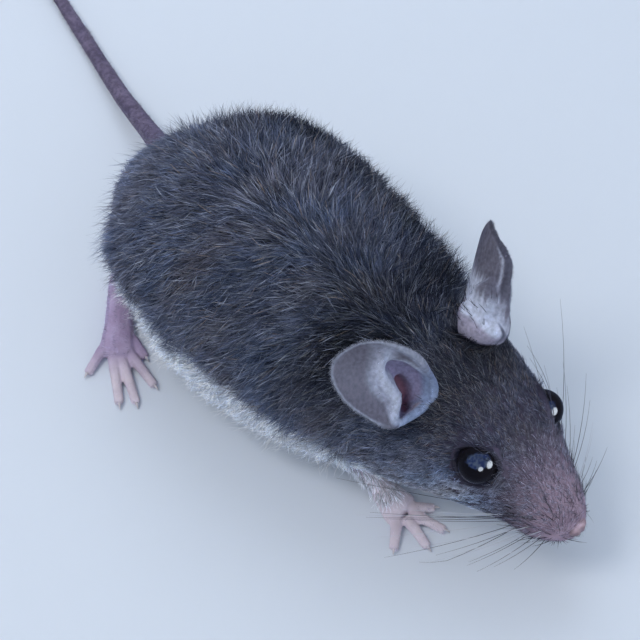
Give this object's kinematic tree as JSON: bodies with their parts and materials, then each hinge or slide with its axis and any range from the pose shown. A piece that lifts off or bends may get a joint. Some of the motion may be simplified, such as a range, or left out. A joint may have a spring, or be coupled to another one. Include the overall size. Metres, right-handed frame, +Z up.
{
  "type": "deer mouse",
  "caption": "Life-size still model of a young deer mouse crouching on all four feet, with large ears, bulging dark eyes, a pale belly and the tail laid out behind.",
  "frame": {"origin": "on the floor under the middle of the whole animal's box", "axes": "+Z up; the mouse faces -Y, the tail lies towards +Y, and +X is its left side"},
  "size_m": [0.0422, 0.1318, 0.0326],
  "materials": {
    "coat": "soft grey-brown fur",
    "pale_coat": "soft white fur",
    "nose_skin": "moist skin",
    "eye": "wet gloss",
    "ear_skin": "thin felted skin",
    "foot_skin": "soft matt skin",
    "tail_skin": "ringed skin with fine hair"
  },
  "bodies": {
    "root": {"rump": "coat", "belly": "coat", "chest": "coat", "neck": "coat", "head": "coat", "lower_jaw": "pale_coat", "nose": "nose_skin", "eye_right": "eye", "ear_right": "ear_skin", "foreleg_right": "coat", "forefoot_right": "foot_skin", "hindleg_right": "coat", "hindfoot_right": "foot_skin", "eye_left": "eye", "ear_left": "ear_skin", "foreleg_left": "coat", "forefoot_left": "foot_skin", "hindleg_left": "coat", "hindfoot_left": "foot_skin", "tail_base": "tail_skin", "tail_middle": "tail_skin", "tail_end": "tail_skin"}
  },
  "joints": []
}
